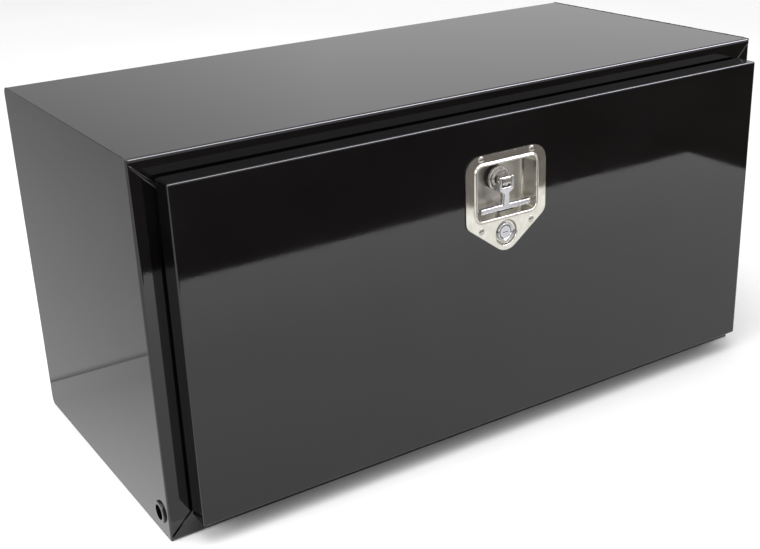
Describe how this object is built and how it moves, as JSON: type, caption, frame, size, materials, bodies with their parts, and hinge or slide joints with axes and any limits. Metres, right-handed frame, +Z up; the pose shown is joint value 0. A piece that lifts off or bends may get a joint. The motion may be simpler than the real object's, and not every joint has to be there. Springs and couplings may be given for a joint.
{
  "type": "truck tool box",
  "caption": "Closed black sheet-steel underbody tool box for a truck, with a bottom-hinged front door held by a folding T-handle latch with a key lock.",
  "frame": {"origin": "middle of the box body's flat underside", "axes": "+Z up, -Y out of the door, +X to the right when facing the door"},
  "size_m": [0.9192, 0.4604, 0.4572],
  "materials": {
    "black_powder_coat": "gloss black powder coat with slight orange peel",
    "polished_stainless": "polished stainless steel",
    "lock_chrome": "bright chrome",
    "zinc_steel": "zinc-plated steel",
    "seal_rubber": "matt black rubber"
  },
  "bodies": {
    "shell": {"shell_wrap": "black_powder_coat", "end_panel_left": "black_powder_coat", "end_panel_right": "black_powder_coat", "port_collar_left": "black_powder_coat", "port_collar_right": "black_powder_coat", "hinge_leaf_body": "black_powder_coat", "hinge_pin": "zinc_steel", "hinge_rivets_body": "black_powder_coat"},
    "door": {"door_pan": "black_powder_coat", "door_inner_panel": "black_powder_coat", "door_seal": "seal_rubber", "hinge_leaf_door": "black_powder_coat", "hinge_rivets_door": "black_powder_coat", "latch_gasket": "seal_rubber", "latch_dish": "polished_stainless", "latch_rivets": "polished_stainless", "spindle_bushing": "polished_stainless", "spindle_washer": "seal_rubber", "bushing_nut": "zinc_steel", "lock_case": "lock_chrome", "lock_nut": "zinc_steel"},
    "spindle": {"latch_shaft": "polished_stainless", "pawl": "zinc_steel", "pawl_washer": "zinc_steel", "pawl_nut": "zinc_steel"},
    "handle": {"t_handle": "polished_stainless", "handle_pin": "polished_stainless"},
    "lock": {"lock_plug": "lock_chrome", "lock_cam": "zinc_steel", "cam_screw": "zinc_steel"}
  },
  "joints": [
    {"name": "door_hinge", "type": "hinge", "parent": "shell", "child": "door", "pos_m": [0, -0.2141, 0.0255], "axis": [1, 0, 0], "range_deg": [0, 90]},
    {"name": "latch_turn", "type": "hinge", "parent": "door", "child": "spindle", "pos_m": [0, -0.2466, 0.352], "axis": [0, 1, 0], "range_deg": [0, 90]},
    {"name": "handle_fold", "type": "hinge", "parent": "spindle", "child": "handle", "pos_m": [0, -0.2453, 0.352], "axis": [-1, 0, 0], "range_deg": [0, 90]},
    {"name": "lock_turn", "type": "hinge", "parent": "door", "child": "lock", "pos_m": [0, -0.2466, 0.286], "axis": [0, -1, 0], "range_deg": [0, 90]}
  ],
  "couplings": [
    {"joint": "latch_turn", "follows": "handle_fold", "ratio": 1}
  ]
}
